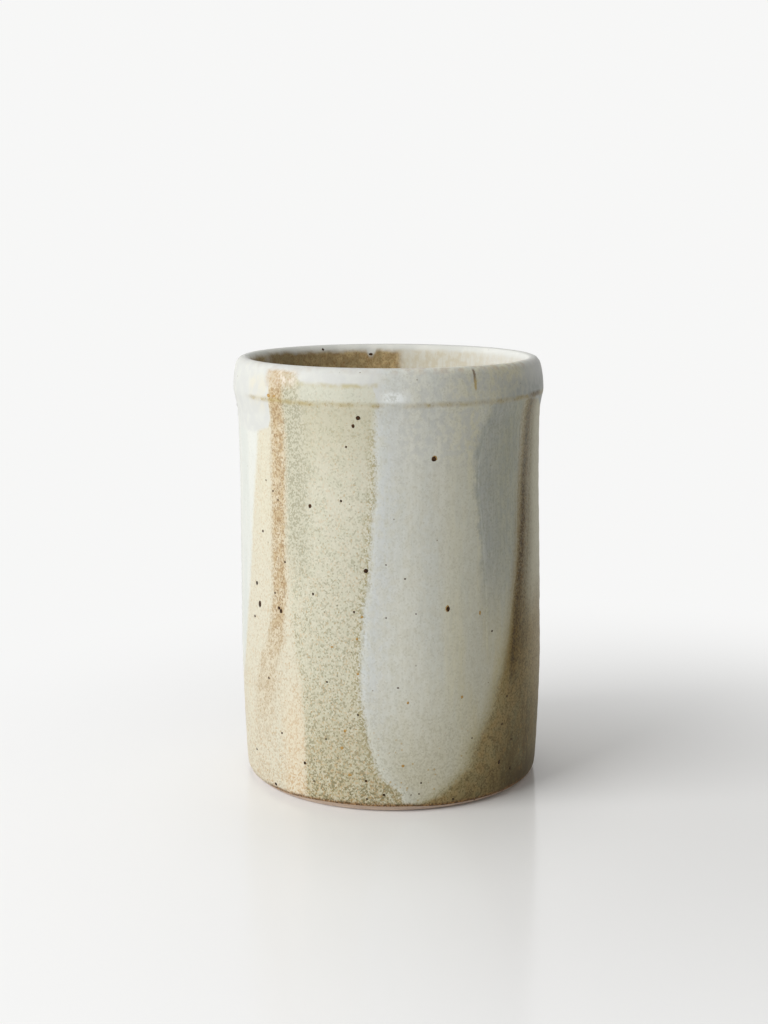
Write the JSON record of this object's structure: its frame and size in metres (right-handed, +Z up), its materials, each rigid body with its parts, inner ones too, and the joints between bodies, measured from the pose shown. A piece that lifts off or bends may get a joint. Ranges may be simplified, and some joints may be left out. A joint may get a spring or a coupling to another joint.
{
  "type": "utensil crock",
  "caption": "Round stoneware crock with a swelling collar and thin lip, open at the top to hold kitchen utensils, in an ash glaze with pale poured runs.",
  "frame": {"origin": "on the table under the middle of the foot", "axes": "+Z up along the axis of the crock, -Y towards the pictured side, +X to the right of the picture"},
  "size_m": [0.1296, 0.1296, 0.178],
  "materials": {
    "stoneware_clay": "bare fired stoneware, dry and matt",
    "ash_glaze": "speckled olive-cream ash glaze, satin",
    "pale_glaze": "pale blue-grey poured glaze, satin",
    "blue_grey_glaze": "blue-grey where two pours overlap, satin",
    "liner_glaze": "brown and cream liner glaze, satin"
  },
  "bodies": {
    "root": {"clay_body": "stoneware_clay", "liner_glaze": "liner_glaze", "rim_glaze": "pale_glaze", "ground_glaze": "ash_glaze", "front_pour_glaze": "pale_glaze", "right_pour_glaze": "pale_glaze", "back_pour_glaze": "pale_glaze", "left_pour_glaze": "pale_glaze", "front_overlap_glaze": "blue_grey_glaze"}
  },
  "joints": []
}
